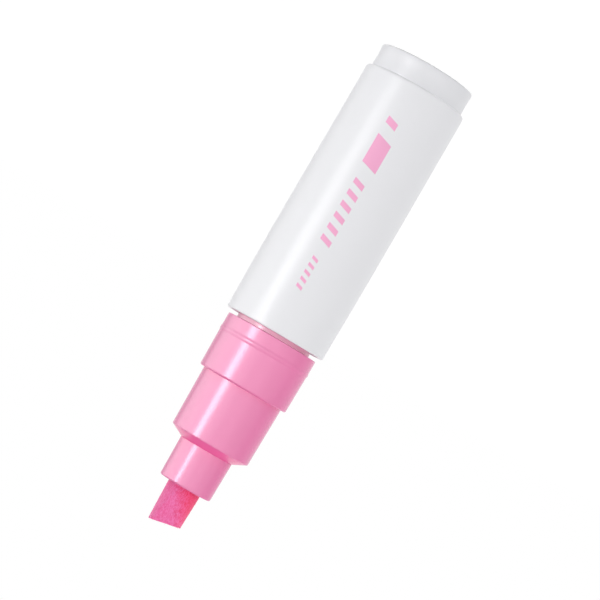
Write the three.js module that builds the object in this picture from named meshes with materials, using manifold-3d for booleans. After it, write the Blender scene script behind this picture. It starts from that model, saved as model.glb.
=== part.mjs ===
// Paint marker with a thick slanted felt nib and a spring-loaded valve, shown without its cap.
// Millimetres, +Z up. It stands on its flat tail with the nib on top; the origin is the middle of the tail's face.
import * as THREE from "three";
import { mergeVertices } from "three/addons/utils/BufferGeometryUtils.js";
import Module from "manifold-3d";

// Lengths along the axis, from the tail to the nib
const STUB_LENGTH = 5.5;
const BODY_LENGTH = 63.6;
const JOINT_GAP = 1.05;
const COLLAR_LENGTH = 13.4;
const GRIP_LENGTH = 14.5;
const CONE_LENGTH = 1.25;
const HOLDER_GAP = 0.2;
const HOLDER_LENGTH = 9.9;
const NIB_REACH = 9.9;

// Outer sizes across the axis
const BARREL_DIAMETER = 25.25;
const BARREL_REAR_DRAFT = 0.05;
const BARREL_FRONT_DRAFT = 0.2;
const STUB_STEP = 0.95;
const FLANGE_STEP = 1.13;
const GRIP_STEP = 1.3;
const GRIP_DRAFT = 0.22;
const COLLAR_DRAFT = 0.14;
const HOLDER_DRAFT = 0.15;

// Clearances
const FIT = 0.3;
const SLIDE_STOP = 0.5;

// Tail stub: its snap groove for the posted cap
const STUB_RIM = 1;
const STUB_GROOVE_START = 2.7;
const STUB_GROOVE_END = 3.3;
const STUB_GROOVE_DEPTH = 0.18;

// Barrel walls
const TANK_WALL = 2.5;
const STUB_WALL = 1.85;
const FLOOR = 2;
const FLOOR_ROUND = 1.5;
const TANK_CONE_START = 1.7;
const TANK_CONE_END = 3.6;
const MOUTH_WALL = 1.67;
const MOUTH_CHAMFER = 0.5;
const BARREL_STATIONS = 8;

// Edge roundings
const TAIL_ROUND = 0.5;
const SHOULDER_ROUND = 0.55;
const RIM_ROUND = 0.35;
const FLANGE_ROUND = 0.08;
const COLLAR_ROUND = 0.45;
const SMALL_ROUND = 0.2;
const SHARP = 0;

// Front section: plug, neck groove, bead and walls
const PLUG_DEPTH = 13.3;
const PLUG_CHAMFER = 0.2;
const NECK_SET_IN = 0.7;
const NECK_DEPTH = 1.1;
const NECK_WALL = 1.4;
const SKIRT_WALL = 1.75;
const SEAL_RIBS = 2;
const SEAL_RIB_HEIGHT = 0.15;
const SEAL_RIB_WIDTH = 1;
const BEAD_START = 3.1;
const BEAD_WIDTH = 1;
const BEAD_HEIGHT = 0.12;
const BEAD_SLOPE = 0.2;
const COLLAR_STEP = 0.03;
const FRONT_BORE_DEPTH = 5.3;
const BORE_ROUND = 0.5;

// Nib holder
const HOLDER_WALL = 2.3;
const HOLDER_PLUG_WALL = 1.7;
const HOLDER_TAIL = 2.4;
const HOLDER_TAIL_STEP = 0.3;
const HOLDER_CHAMFER = 0.35;
const HOLDER_ROUND = 0.4;
const HOLDER_SNAP_HEIGHT = 0.12;
const HOLDER_SNAP_WIDTH = 1;
const MOUTH_ROUND = 0.2;
const AIR_SLOTS = 4;
const AIR_SLOT_WIDTH = 1;
const AIR_SLOT_DEPTH = 0.8;

// Nib: a round felt rod with two ground flats and a slanted end
const NIB_DIAMETER = 8;
const NIB_TAPER = 0.35;
const NIB_TAIL_CHAMFER = 0.5;
const FLAT_START = 1;
const FLAT_SLOPE = 0.19;
const END_SLANT_DEGREES = 11.5;

// Valve
const NIB_TRAVEL = 2.5;
const CUP_DEPTH = 4.6;
const CUP_BASE = 1.4;
const CUP_WALL = 0.9;
const CUP_HOLDER_GAP = 0.6;
const CUP_SLOTS = 4;
const CUP_SLOT_WIDTH = 1.6;
const CUP_CORE_RADIUS = 2.8;
const ROD_RADIUS = 1.5;
const HEAD_RADIUS = 4.5;
const HEAD_EDGE = 1.6;
const SPIGOT_RADIUS = 2.3;
const SPIGOT_LENGTH = 1;
const PIN_OVERLAP = 1.1;
const PIN_ROUND = 0.5;

// Valve housing, seat and spring retainer
const LEDGE_SET_IN = 3.1;
const HOUSING_FLANGE = 1.8;
const HOUSING_WALL = 1.35;
const HOUSING_WEB = 1.4;
const WEB_HOLE_RADIUS = 3.4;
const HOUSING_RIBS = 4;
const HOUSING_RIB_WIDTH = 0.9;
const HOUSING_SNAP_WIDTH = 0.8;
const HOUSING_SNAP_SLOPE = 0.5;
const HOUSING_SNAP_DEPTH = 0.15;
const SEAT_THICKNESS = 1.6;
const SEAT_BORE_RADIUS = 2.7;
const SEAT_CHAMFER = 0.8;
const RETAINER_SET_IN = 0.4;
const RETAINER_THICKNESS = 1.7;
const RETAINER_HUB = 1.9;
const RETAINER_RIM = 0.8;
const RETAINER_SPOKES = 4;
const RETAINER_SPOKE_DEGREES = 22;

// Spring
const WIRE_DIAMETER = 0.7;
const SPRING_RADIUS = 3;
const SPRING_PITCH = 1.4;
const WIRE_SIDES = 6;
const STEPS_PER_COIL = 14;
const LEAST_COIL_GAP = 0.4;

// Mixing balls
const BALL_DIAMETER = 8;
const BALL_APART = 0.6;

// Facets
const SEGMENTS = 48;
const SMALL_SEGMENTS = 40;
const ROUND_STEPS = 2;
const BALL_SEGMENTS = 20;
const BALL_RINGS = 12;
const OUTLINE_SEGMENTS = 10;
const MERGE_DISTANCE = 1e-4;
const CUT_MARGIN = 2;

// Finishes
const WHITE = { color: 0xf1f1f3, roughness: 0.4, metalness: 0 };
const PINK = { color: 0xee9cc3, roughness: 0.25, metalness: 0 };
const FELT = { color: 0xec6aa0, roughness: 0.95, metalness: 0 };
const NATURAL = { color: 0xe9e7df, roughness: 0.45, metalness: 0 };
const SOFT = { color: 0x4a4a4d, roughness: 0.8, metalness: 0 };
const STEEL = { color: 0xb9bcc0, roughness: 0.25, metalness: 1 };

// Heights of the outer steps
const shoulderZ = STUB_LENGTH;
const rimZ = shoulderZ + BODY_LENGTH;
const flangeZ = rimZ + JOINT_GAP;
const collarEndZ = flangeZ + COLLAR_LENGTH;
const gripEndZ = collarEndZ + GRIP_LENGTH;
const coneEndZ = gripEndZ + CONE_LENGTH;
const holderZ = coneEndZ + HOLDER_GAP;
const mouthZ = holderZ + HOLDER_LENGTH;
const tipZ = mouthZ + NIB_REACH;

// Heights of what fits inside
const plugEndZ = rimZ - PLUG_DEPTH;
const grooveZ = rimZ - NECK_SET_IN;
const ledgeZ = rimZ - LEDGE_SET_IN;
const frontBoreZ = coneEndZ - FRONT_BORE_DEPTH;
const holderTailZ = frontBoreZ - HOLDER_TAIL;
const cupFrontZ = holderTailZ - CUP_HOLDER_GAP;
const cupFloorZ = cupFrontZ - CUP_DEPTH;
const cupRearZ = cupFloorZ - CUP_BASE;
const nibTailZ = cupFloorZ + FIT;
const housingFrontZ = cupRearZ - NIB_TRAVEL - SLIDE_STOP;
const housingRearZ = ledgeZ - HOUSING_FLANGE;
const webZ = housingFrontZ - HOUSING_WEB;
const seatRearZ = webZ - SEAT_THICKNESS;
const retainerRearZ = housingRearZ + RETAINER_SET_IN;
const retainerFrontZ = retainerRearZ + RETAINER_THICKNESS;

// Radii, each from its neighbour and a wall or a clearance
const barrelRadius = BARREL_DIAMETER / 2;
const barrelRearRadius = barrelRadius - BARREL_REAR_DRAFT;
const barrelFrontRadius = barrelRadius - BARREL_FRONT_DRAFT;
const stubRadius = barrelRearRadius - STUB_STEP;
const stubBoreRadius = stubRadius - STUB_WALL;
const tankRadius = barrelRadius - TANK_WALL;
const barrelMouthRadius = barrelFrontRadius - MOUTH_WALL;
const plugRadius = barrelMouthRadius - FIT;
const neckRadius = plugRadius - NECK_DEPTH;
const chamberRadius = neckRadius - NECK_WALL;
const skirtRadius = plugRadius - SKIRT_WALL;
const flangeRadius = barrelFrontRadius - FLANGE_STEP;
const gripRadius = flangeRadius - GRIP_STEP;
const gripFrontRadius = gripRadius - GRIP_DRAFT;
const nibRadius = NIB_DIAMETER / 2;
const nibBoreRadius = nibRadius + FIT;
const holderRadius = nibBoreRadius + HOLDER_WALL;
const holderPlugRadius = nibBoreRadius + HOLDER_PLUG_WALL;
const frontBoreRadius = holderPlugRadius + FIT;
const cupRadius = nibBoreRadius + CUP_WALL;
const housingRadius = chamberRadius - FIT;
const housingFlangeRadius = skirtRadius - FIT;
const housingBoreRadius = housingRadius - HOUSING_WALL;
const seatRadius = housingBoreRadius - FIT;
const ballRadius = BALL_DIAMETER / 2;

const wasm = await Module();
wasm.setup();

// The arc that rounds the corner at b, between its neighbours a and c.
function roundedCorner(a, b, c, radius) {
  const toA = a.clone().sub(b).normalize();
  const toC = c.clone().sub(b).normalize();
  const half = Math.acos(toA.dot(toC)) / 2;
  const middle = toA.clone().add(toC).normalize();
  const centre = b.clone().addScaledVector(middle, radius / Math.sin(half));
  const start = b.clone().addScaledVector(toA, radius / Math.tan(half)).sub(centre);
  const end = b.clone().addScaledVector(toC, radius / Math.tan(half)).sub(centre);
  const sweep = Math.atan2(start.cross(end), start.dot(end));
  const origin = new THREE.Vector2();
  return Array.from({ length: ROUND_STEPS + 1 }, (_, i) =>
    start.clone().rotateAround(origin, (sweep * i) / ROUND_STEPS).add(centre),
  );
}

// Points of an outline whose corners are [radius, height, rounding].
// An outline that doesn't close on itself starts and ends on the axis.
function outline(corners, closes) {
  const points = corners.map(([r, z]) => new THREE.Vector2(r, z));
  const count = points.length;
  const drawn = corners.flatMap(([, , rounding = SHARP], i) => {
    if (rounding === SHARP) return [points[i]];
    return roundedCorner(points[(i + count - 1) % count], points[i], points[(i + 1) % count], rounding);
  });
  return closes ? [...drawn, drawn[0].clone()] : drawn;
}

function revolve(corners, { closes = true, segments = SEGMENTS } = {}) {
  return new THREE.LatheGeometry(outline(corners, closes), segments).rotateX(Math.PI / 2);
}

// A closed mesh as a solid that can be cut or joined.
function toSolid(geometry) {
  geometry.deleteAttribute("normal");
  geometry.deleteAttribute("uv");
  const merged = mergeVertices(geometry, MERGE_DISTANCE);
  const index = merged.index.array;
  const kept = [];
  for (let i = 0; i < index.length; i += 3) {
    const [a, b, c] = [index[i], index[i + 1], index[i + 2]];
    if (a !== b && b !== c && c !== a) kept.push(a, b, c);
  }
  return new wasm.Manifold(
    new wasm.Mesh({
      numProp: 3,
      vertProperties: merged.attributes.position.array,
      triVerts: new Uint32Array(kept),
    }),
  );
}

function toGeometry(solid) {
  const mesh = solid.getMesh();
  const geometry = new THREE.BufferGeometry();
  geometry.setAttribute("position", new THREE.BufferAttribute(new Float32Array(mesh.vertProperties), 3));
  geometry.setIndex(new THREE.BufferAttribute(new Uint32Array(mesh.triVerts), 1));
  geometry.computeVertexNormals();
  return geometry;
}

// Boxes that point outward round the axis, between two radii and two heights.
function spokes({ count, width, from, to, low, high, turn = 0 }) {
  return Array.from({ length: count }, (_, i) =>
    toSolid(
      new THREE.BoxGeometry(to - from, width, high - low)
        .translate((from + to) / 2, 0, (low + high) / 2)
        .rotateZ(turn + (2 * Math.PI * i) / count),
    ),
  );
}

// A bead round an outer wall: four corners from the wall out to its crest and back.
function bead(radius, height, low, high, slope) {
  return [
    [radius, low],
    [radius + height, low + slope],
    [radius + height, high - slope],
    [radius, high],
  ];
}

// The barrel swells a little between its tail and its mouth.
function barrelSide() {
  const low = shoulderZ + 2 * SHOULDER_ROUND;
  const high = rimZ - 2 * RIM_ROUND;
  return Array.from({ length: BARREL_STATIONS + 1 }, (_, i) => {
    const share = i / BARREL_STATIONS;
    const swell = 4 * share * (1 - share);
    const chord = THREE.MathUtils.lerp(barrelRearRadius, barrelFrontRadius, share);
    return [THREE.MathUtils.lerp(chord, barrelRadius, swell), THREE.MathUtils.lerp(low, high, share)];
  });
}

function barrel() {
  const grooveRadius = stubRadius - STUB_GROOVE_DEPTH;
  return revolve(
    [
      [0, 0],
      [stubRadius, 0, TAIL_ROUND],
      [stubRadius, STUB_RIM],
      [grooveRadius, STUB_GROOVE_START],
      [stubRadius, STUB_GROOVE_END],
      [stubRadius, shoulderZ],
      [barrelRearRadius, shoulderZ, SHOULDER_ROUND],
      ...barrelSide(),
      [barrelFrontRadius, rimZ, RIM_ROUND],
      [barrelMouthRadius + MOUTH_CHAMFER, rimZ],
      [barrelMouthRadius, rimZ - MOUTH_CHAMFER],
      [barrelMouthRadius, plugEndZ],
      [tankRadius, plugEndZ],
      [tankRadius, shoulderZ + TANK_CONE_END],
      [stubBoreRadius, shoulderZ + TANK_CONE_START],
      [stubBoreRadius, FLOOR, FLOOR_ROUND],
      [0, FLOOR],
    ],
    { closes: false },
  );
}

function sealRibs() {
  const spacing = (grooveZ - plugEndZ) / (SEAL_RIBS + 1);
  return Array.from({ length: SEAL_RIBS }, (_, i) => {
    const middle = plugEndZ + spacing * (i + 1);
    const reach = SEAL_RIB_WIDTH / 2;
    return bead(plugRadius, SEAL_RIB_HEIGHT, middle - reach, middle + reach, SEAL_RIB_HEIGHT);
  }).flat();
}

// The snap ridge that holds the valve housing against its ledge, drawn downward along the skirt's bore.
function housingSnap() {
  const high = housingRearZ - FIT;
  const low = high - HOUSING_SNAP_WIDTH;
  const crest = housingFlangeRadius - HOUSING_SNAP_DEPTH;
  return [
    [skirtRadius, high],
    [crest, high - FIT],
    [crest, low],
    [skirtRadius, low - HOUSING_SNAP_SLOPE],
  ];
}

function frontSection() {
  const beadZ = flangeZ + BEAD_START;
  const beadEndZ = beadZ + BEAD_WIDTH;
  const collarRadius = flangeRadius - COLLAR_STEP;
  return revolve([
    [plugRadius - PLUG_CHAMFER, plugEndZ],
    [plugRadius, plugEndZ + PLUG_CHAMFER],
    ...sealRibs(),
    [plugRadius, grooveZ],
    [neckRadius, grooveZ],
    [neckRadius, flangeZ, SMALL_ROUND],
    [flangeRadius, flangeZ, FLANGE_ROUND],
    ...bead(flangeRadius, BEAD_HEIGHT, beadZ, beadEndZ, BEAD_SLOPE),
    [collarRadius, beadEndZ + BEAD_SLOPE],
    [collarRadius - COLLAR_DRAFT, collarEndZ, COLLAR_ROUND],
    [gripRadius, collarEndZ],
    [gripFrontRadius, gripEndZ],
    [frontBoreRadius, coneEndZ],
    [frontBoreRadius, frontBoreZ],
    [chamberRadius, frontBoreZ, BORE_ROUND],
    [chamberRadius, ledgeZ],
    [skirtRadius, ledgeZ],
    ...housingSnap(),
    [skirtRadius, plugEndZ],
  ]);
}

function nibHolder() {
  const tailRadius = holderPlugRadius - HOLDER_TAIL_STEP;
  const plugZ = frontBoreZ + FIT;
  const snapZ = plugZ + HOLDER_SNAP_WIDTH;
  const body = revolve(
    [
      [nibBoreRadius, holderTailZ],
      [tailRadius, holderTailZ, SMALL_ROUND],
      [tailRadius, plugZ],
      [holderPlugRadius, plugZ + HOLDER_TAIL_STEP],
      ...bead(holderPlugRadius, HOLDER_SNAP_HEIGHT, snapZ, snapZ + HOLDER_SNAP_WIDTH, BEAD_SLOPE),
      [holderPlugRadius, holderZ],
      [holderRadius, holderZ + HOLDER_CHAMFER],
      [holderRadius - HOLDER_DRAFT, mouthZ, HOLDER_ROUND],
      [nibBoreRadius, mouthZ, MOUTH_ROUND],
    ],
    { segments: SMALL_SEGMENTS },
  );
  const slots = spokes({
    count: AIR_SLOTS,
    width: AIR_SLOT_WIDTH,
    from: nibBoreRadius - AIR_SLOT_DEPTH,
    to: nibBoreRadius + AIR_SLOT_DEPTH,
    low: holderTailZ - CUT_MARGIN,
    high: mouthZ + CUT_MARGIN,
    turn: Math.PI / AIR_SLOTS,
  });
  return toGeometry(slots.reduce((solid, slot) => solid.subtract(slot), toSolid(body)));
}

// A prism of an outline in a plane that holds the axis, as deep as the nib is thick and a margin more.
function nibPrism(points, turn) {
  const depth = NIB_DIAMETER + 2 * CUT_MARGIN;
  const shape = new THREE.Shape(points.map(([across, z]) => new THREE.Vector2(across, z)));
  return new THREE.ExtrudeGeometry(shape, { depth, bevelEnabled: false })
    .translate(0, 0, -depth / 2)
    .rotateX(Math.PI / 2)
    .rotateZ(turn);
}

// Two flats, ground from just outside the holder to the tip.
function nibWedge() {
  const reach = nibRadius + CUT_MARGIN;
  const low = nibTailZ - CUT_MARGIN;
  const high = tipZ + CUT_MARGIN;
  const flatZ = mouthZ + FLAT_START;
  const shoulder = flatZ - CUT_MARGIN / FLAT_SLOPE;
  const edge = nibRadius - (high - flatZ) * FLAT_SLOPE;
  return nibPrism(
    [
      [-reach, low],
      [reach, low],
      [reach, shoulder],
      [edge, high],
      [-edge, high],
      [-reach, shoulder],
    ],
    Math.PI / 2,
  );
}

// The end, cut at a slant that leaves the corner on the +X side longer.
function nibSlant() {
  const reach = nibRadius + CUT_MARGIN;
  const low = nibTailZ - CUT_MARGIN;
  const slope = Math.tan(THREE.MathUtils.degToRad(END_SLANT_DEGREES));
  const tipRadius = nibRadius - NIB_TAPER;
  return nibPrism(
    [
      [-reach, low],
      [reach, low],
      [reach, tipZ + (reach - tipRadius) * slope],
      [-reach, tipZ - (reach + tipRadius) * slope],
    ],
    0,
  );
}

function nib() {
  const rod = revolve(
    [
      [0, nibTailZ],
      [nibRadius - NIB_TAIL_CHAMFER, nibTailZ],
      [nibRadius, nibTailZ + NIB_TAIL_CHAMFER],
      [nibRadius, mouthZ + FLAT_START],
      [nibRadius - NIB_TAPER, tipZ + CUT_MARGIN],
      [0, tipZ + CUT_MARGIN],
    ],
    { closes: false, segments: SMALL_SEGMENTS },
  );
  return toGeometry(toSolid(rod).intersect(toSolid(nibWedge())).intersect(toSolid(nibSlant())));
}

function valveHousing() {
  const body = revolve(
    [
      [housingBoreRadius, housingRearZ],
      [housingFlangeRadius, housingRearZ, SMALL_ROUND],
      [housingFlangeRadius, ledgeZ],
      [housingRadius, ledgeZ],
      [housingRadius, housingFrontZ, SMALL_ROUND],
      [WEB_HOLE_RADIUS, housingFrontZ],
      [WEB_HOLE_RADIUS, webZ],
      [housingBoreRadius, webZ],
    ],
    { segments: SMALL_SEGMENTS },
  );
  const ribs = spokes({
    count: HOUSING_RIBS,
    width: HOUSING_RIB_WIDTH,
    from: HEAD_RADIUS + FIT,
    to: housingBoreRadius + HOUSING_WALL / 2,
    low: retainerFrontZ + FIT,
    high: seatRearZ - FIT,
  });
  return toGeometry(ribs.reduce((solid, rib) => solid.add(rib), toSolid(body)));
}

function valveSeat() {
  return revolve(
    [
      [SEAT_BORE_RADIUS + SEAT_CHAMFER, seatRearZ],
      [seatRadius, seatRearZ],
      [seatRadius, webZ],
      [SEAT_BORE_RADIUS, webZ],
      [SEAT_BORE_RADIUS, seatRearZ + SEAT_CHAMFER],
    ],
    { segments: SMALL_SEGMENTS },
  );
}

// Height at which the sealing cone has a given radius: it lies a clearance behind the seat's chamfer.
function coneHeight(radius) {
  return seatRearZ + SEAT_BORE_RADIUS + SEAT_CHAMFER - FIT * Math.SQRT2 - radius;
}

const headFrontZ = coneHeight(HEAD_RADIUS);
const headRearZ = headFrontZ - HEAD_EDGE;

function valveStem() {
  const pinRearZ = retainerFrontZ - PIN_OVERLAP;
  const body = revolve(
    [
      [0, pinRearZ],
      [ROD_RADIUS, pinRearZ, PIN_ROUND],
      [ROD_RADIUS, headRearZ - SPIGOT_LENGTH],
      [SPIGOT_RADIUS, headRearZ - SPIGOT_LENGTH],
      [SPIGOT_RADIUS, headRearZ],
      [HEAD_RADIUS, headRearZ],
      [HEAD_RADIUS, headFrontZ],
      [ROD_RADIUS, coneHeight(ROD_RADIUS)],
      [ROD_RADIUS, cupRearZ],
      [cupRadius, cupRearZ, SMALL_ROUND],
      [cupRadius, cupFrontZ],
      [nibBoreRadius, cupFrontZ],
      [nibBoreRadius, cupFloorZ],
      [0, cupFloorZ],
    ],
    { closes: false, segments: SMALL_SEGMENTS },
  );
  const slots = spokes({
    count: CUP_SLOTS,
    width: CUP_SLOT_WIDTH,
    from: CUP_CORE_RADIUS,
    to: cupRadius + CUT_MARGIN,
    low: cupRearZ - FIT,
    high: cupFrontZ + CUT_MARGIN,
  });
  return toGeometry(slots.reduce((solid, slot) => solid.subtract(slot), toSolid(body)));
}

// A disc with a guide hole for the stem's pin and a window between each two spokes.
function springRetainer() {
  const hub = ROD_RADIUS + FIT + RETAINER_HUB;
  const rim = seatRadius - RETAINER_RIM;
  const disc = new THREE.Shape().absarc(0, 0, seatRadius, 0, 2 * Math.PI, false);
  disc.holes.push(new THREE.Path().absarc(0, 0, ROD_RADIUS + FIT, 0, 2 * Math.PI, true));
  const half = THREE.MathUtils.degToRad(RETAINER_SPOKE_DEGREES / 2);
  for (let i = 0; i < RETAINER_SPOKES; i++) {
    const from = (2 * Math.PI * i) / RETAINER_SPOKES + half;
    const to = (2 * Math.PI * (i + 1)) / RETAINER_SPOKES - half;
    const window = new THREE.Path().absarc(0, 0, rim, from, to, false);
    window.absarc(0, 0, hub, to, from, true);
    disc.holes.push(window.closePath());
  }
  return new THREE.ExtrudeGeometry(disc, {
    depth: RETAINER_THICKNESS,
    bevelEnabled: false,
    curveSegments: OUTLINE_SEGMENTS,
  }).translate(0, 0, retainerRearZ);
}

// Least distance between the wire of one coil and the next, measured between points of the centre line.
function leastCoilGap(points, stepsPerCoil) {
  let least = Infinity;
  for (let i = 0; i < points.length; i++) {
    for (let j = i + Math.round(stepsPerCoil / 2); j < points.length; j++) {
      least = Math.min(least, points[i].distanceTo(points[j]));
    }
  }
  return least - WIRE_DIAMETER;
}

class Helix extends THREE.Curve {
  constructor(low, high, turns) {
    super();
    Object.assign(this, { low, high, turns });
  }

  getPoint(share, target = new THREE.Vector3()) {
    const angle = 2 * Math.PI * this.turns * share;
    const z = THREE.MathUtils.lerp(this.low, this.high, share);
    return target.set(SPRING_RADIUS * Math.cos(angle), SPRING_RADIUS * Math.sin(angle), z);
  }
}

function valveSpring() {
  const wireRadius = WIRE_DIAMETER / 2;
  const low = retainerFrontZ + FIT + wireRadius;
  const high = headRearZ - FIT - wireRadius;
  const turns = Math.round((high - low) / SPRING_PITCH);
  const steps = turns * STEPS_PER_COIL;
  const path = new Helix(low, high, turns);
  const gap = leastCoilGap(path.getPoints(steps), STEPS_PER_COIL);
  console.log(`valve_spring: least gap between coils ${gap.toFixed(2)} mm, wanted over ${LEAST_COIL_GAP}`);
  const section = Array.from({ length: WIRE_SIDES }, (_, i) => {
    const angle = (2 * Math.PI * i) / WIRE_SIDES;
    return new THREE.Vector2(wireRadius * Math.cos(angle), wireRadius * Math.sin(angle));
  });
  return new THREE.ExtrudeGeometry(new THREE.Shape(section), { steps, extrudePath: path });
}

function mixingBall() {
  return new THREE.SphereGeometry(ballRadius, BALL_SEGMENTS, BALL_RINGS).rotateX(Math.PI / 2);
}

const marker = new THREE.Group();

function addPiece(name, geometry, finish, parent = marker) {
  const mesh = new THREE.Mesh(geometry, new THREE.MeshStandardMaterial(finish));
  mesh.name = name;
  parent.add(mesh);
  return mesh;
}

addPiece("barrel", barrel(), WHITE);
addPiece("front_section", frontSection(), PINK);
addPiece("nib_holder", nibHolder(), PINK);
addPiece("nib", nib(), FELT);

const valve = new THREE.Group();
marker.add(valve);
addPiece("valve_housing", valveHousing(), NATURAL, valve);
addPiece("valve_seat", valveSeat(), SOFT, valve);
addPiece("valve_stem", valveStem(), NATURAL, valve);
addPiece("valve_spring", valveSpring(), STEEL, valve);
addPiece("spring_retainer", springRetainer(), NATURAL, valve);

const ballOffset = ballRadius + BALL_APART / 2;
for (const [i, side] of [-1, 1].entries()) {
  const ball = addPiece(`mixing_ball_${i + 1}`, mixingBall(), STEEL);
  ball.position.set(side * ballOffset, 0, FLOOR + FIT + ballRadius);
}

export default marker;
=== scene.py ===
"""Looks of a broad paint marker, shown without its cap, built around its fixed frame."""

import math
import random

import bmesh
import bpy
from bpy.props import FloatProperty, FloatVectorProperty, PointerProperty
from mathutils import Matrix, Quaternion, Vector


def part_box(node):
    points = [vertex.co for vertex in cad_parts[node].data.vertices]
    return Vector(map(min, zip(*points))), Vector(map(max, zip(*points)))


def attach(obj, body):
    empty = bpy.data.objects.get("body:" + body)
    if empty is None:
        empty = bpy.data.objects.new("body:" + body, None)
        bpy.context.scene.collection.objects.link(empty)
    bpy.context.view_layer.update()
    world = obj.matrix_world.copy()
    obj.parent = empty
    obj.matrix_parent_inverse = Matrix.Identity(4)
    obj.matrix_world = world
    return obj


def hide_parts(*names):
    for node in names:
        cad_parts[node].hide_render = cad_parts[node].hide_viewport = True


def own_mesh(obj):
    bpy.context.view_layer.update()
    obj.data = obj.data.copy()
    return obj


bl_info = {
    "name": "Paint Marker",
    "version": (1, 0, 0),
    "blender": (4, 5, 0),
    "location": "3D View > Sidebar > Marker",
    "description": "Barrel, stepped front, felt nib and valve of a broad paint marker, with its studio",
    "category": "Add Mesh",
}

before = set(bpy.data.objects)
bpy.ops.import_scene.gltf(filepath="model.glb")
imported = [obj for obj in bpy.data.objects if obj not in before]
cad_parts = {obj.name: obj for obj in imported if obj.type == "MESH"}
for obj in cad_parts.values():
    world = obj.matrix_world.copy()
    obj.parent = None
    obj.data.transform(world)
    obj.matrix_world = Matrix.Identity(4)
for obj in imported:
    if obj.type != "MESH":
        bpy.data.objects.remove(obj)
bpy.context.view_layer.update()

MM = 0.001
SAME_PLACE = 1e-6
SMOOTH_ANGLE = math.radians(35)

# Facets
TURN_STEPS = 160
SMALL_TURN_STEPS = 96
ROUND_STEPS = 5
CUT_MARGIN = 2 * MM

# Fits and heights that the mouldings share
FIT = 0.3 * MM
PLUG_LENGTH = 13.3 * MM
CHAMBER_LOW = 66 * MM
HOLDER_STOP = 94 * MM
HOLDER_LOW = 91.6 * MM

# How far past the frame's rim the front cone is drawn, up to the nib holder
CONE_REACH = 0.37 * MM

# Barrel
TAIL_WALL = 2 * MM
STUB_WALL = 1.85 * MM
TANK_WALL = 2.5 * MM
MOUTH_WALL = 1.67 * MM
BARREL_STATIONS = 8

# Nib and valve
NIB_FLAT_SLOPE = 0.19
NIB_SLANT = math.radians(11.5)
NIB_VOXEL = 0.11 * MM
ROD_RADIUS = 1.5 * MM
WIRE_RADIUS = 0.35 * MM
COILS = 6

# Print, in millimetres: how far across and up each mark's four corners lie
SWATCH = ((2.42, 19.17), (-1.57, 20.52), (-1.57, 27.63), (2.42, 26.4))
SHORT_MARK = ((2.3, 14.6), (-0.5, 15.55), (-0.5, 17.2), (2.3, 16.25))

# Felt: what the paint in its hollows leaves of each channel
FELT_HOLLOW = (0.88, 0.36, 0.53, 1.0)

# Studio. The strip hangs nearer than the panels, which would hide it in the gloss.
HORIZON_SPREAD = 0.12
PANEL_HEIGHT = 0.5
PANEL_DISTANCE = 0.3
PANEL_REACH = 45
STRIP_DISTANCE = 0.27
LAMP_AIM = Vector((0, 0, 0.06))
FLOOR_RADIUS = 2.5
FLOOR_GLOW = 1.07
FLOOR_GLOW_SHARE = 0.78
WHITE = (1, 1, 1, 1)


def height_of(node, end):
    """Lowest (0) or highest (1) point of a frame node."""
    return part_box(node)[end].z


def width_of(node):
    low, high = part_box(node)
    return high.x - low.x


def radius_of(node):
    return width_of(node) / 2


def length(name, description, default):
    """A length in metres that a user can set."""
    return FloatProperty(
        name=name, description=description, default=default, min=0.0, precision=5, unit="LENGTH"
    )


def share(name, description, default):
    """A value from 0 to 1 that a user can set."""
    return FloatProperty(
        name=name, description=description, default=default, min=0.0, max=1.0, subtype="FACTOR"
    )


def light_level(name, description, default):
    """A strength of light."""
    return FloatProperty(name=name, description=description, default=default, min=0.0)


def colour(name, description, default):
    """A colour that a user can set."""
    return FloatVectorProperty(
        name=name, description=description, default=default, size=3, min=0.0, max=1.0, subtype="COLOR"
    )


class MarkerSizes(bpy.types.PropertyGroup):
    """Sizes of the mouldings and the nib."""

    barrel_diameter: length("Barrel", "Across the middle of the barrel", width_of("barrel"))
    rim_height: length("Barrel rim", "Height of the barrel's open rim", height_of("barrel", 1))
    shoulder_height: length("Shoulder", "Length of the tail stub that holds the cap", 5.5 * MM)
    stub_step: length("Stub step", "How far the stub stands in from the barrel", 0.95 * MM)
    joint_gap: length("Joint gap", "Gap between the barrel's rim and the flange", 1.05 * MM)
    flange_diameter: length("Flange", "Across the flange and collar", width_of("front_section"))
    collar_end: length("Collar end", "Height where the collar steps in to the grip", 83.55 * MM)
    grip_diameter: length("Grip", "Across the rear of the grip", 19.99 * MM)
    grip_end: length("Grip end", "Height where the grip turns into the front cone", 98.05 * MM)
    cone_end: length("Cone end", "Height of the front section's rim", height_of("front_section", 1))
    holder_diameter: length("Holder", "Across the nib holder", width_of("nib_holder"))
    mouth_height: length("Mouth", "Height of the nib holder's rim", height_of("nib_holder", 1))
    nib_diameter: length("Nib", "Across the felt rod", width_of("nib"))
    tip_height: length("Tip", "Height of the nib's longer corner", height_of("nib", 1))


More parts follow.
